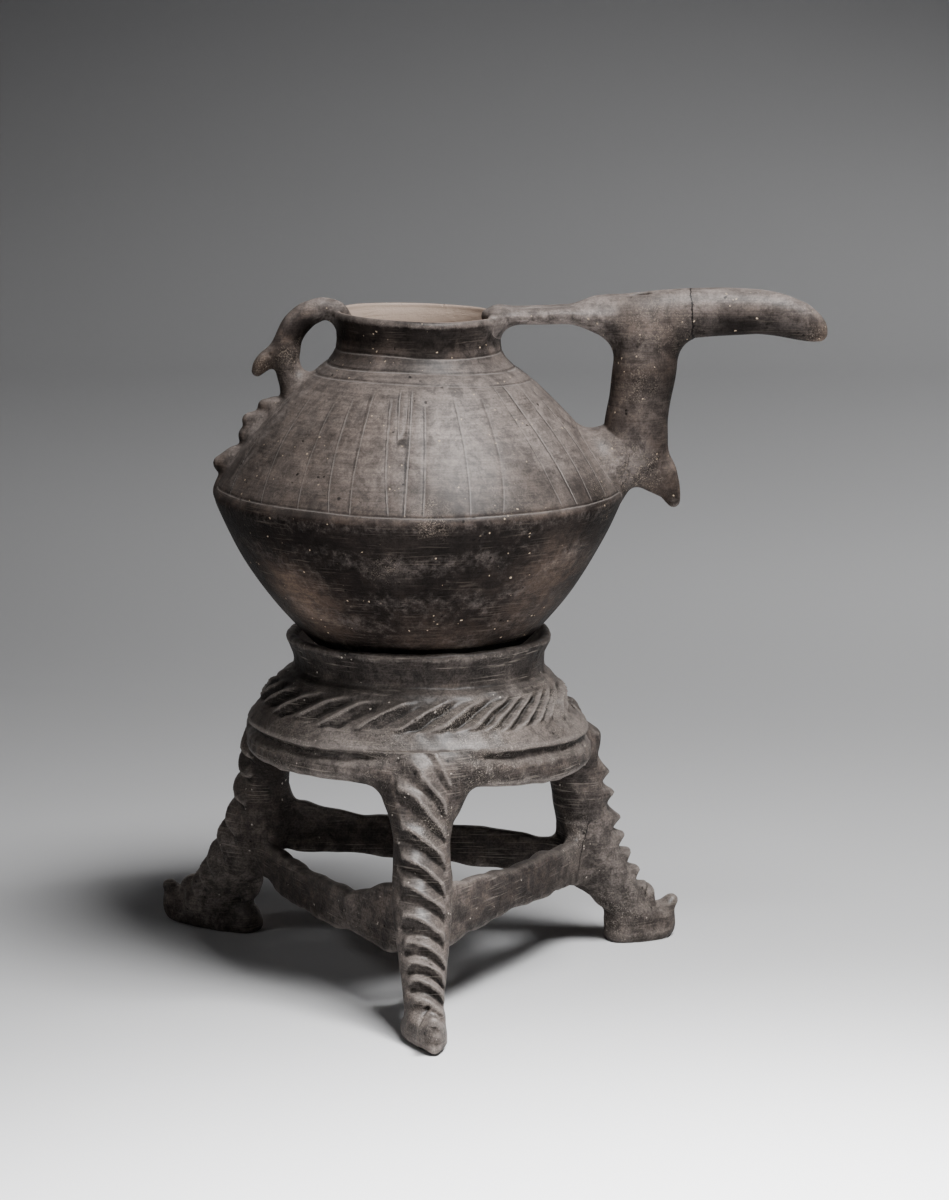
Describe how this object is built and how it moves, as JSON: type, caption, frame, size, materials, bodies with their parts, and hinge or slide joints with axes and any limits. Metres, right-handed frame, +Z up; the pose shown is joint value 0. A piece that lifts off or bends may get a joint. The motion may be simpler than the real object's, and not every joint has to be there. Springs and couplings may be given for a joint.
{
  "type": "spouted jar on stand",
  "caption": "Clay jar with a keen-edged body, bridged column spout, horn-like beak and animal-neck handle, resting in a fluted ring stand on ridged, strap-braced legs.",
  "frame": {"origin": "on the floor, under the middle of the bounding box of the jar and its stand together", "axes": "+Z up; the beak of the spout points along +X and the handle is on the -X side; the front leg comes forward along -Y; the turning axis of the jar and the ring stands at x = -0.0342, y = +0.0277"},
  "size_m": [0.37, 0.2764, 0.3752],
  "materials": {
    "jar_clay": "burnished, unglazed",
    "stand_clay": "worn burnish, unglazed"
  },
  "bodies": {
    "root": {"spouted_jar": "jar_clay", "tripod_stand": "stand_clay"}
  },
  "joints": []
}
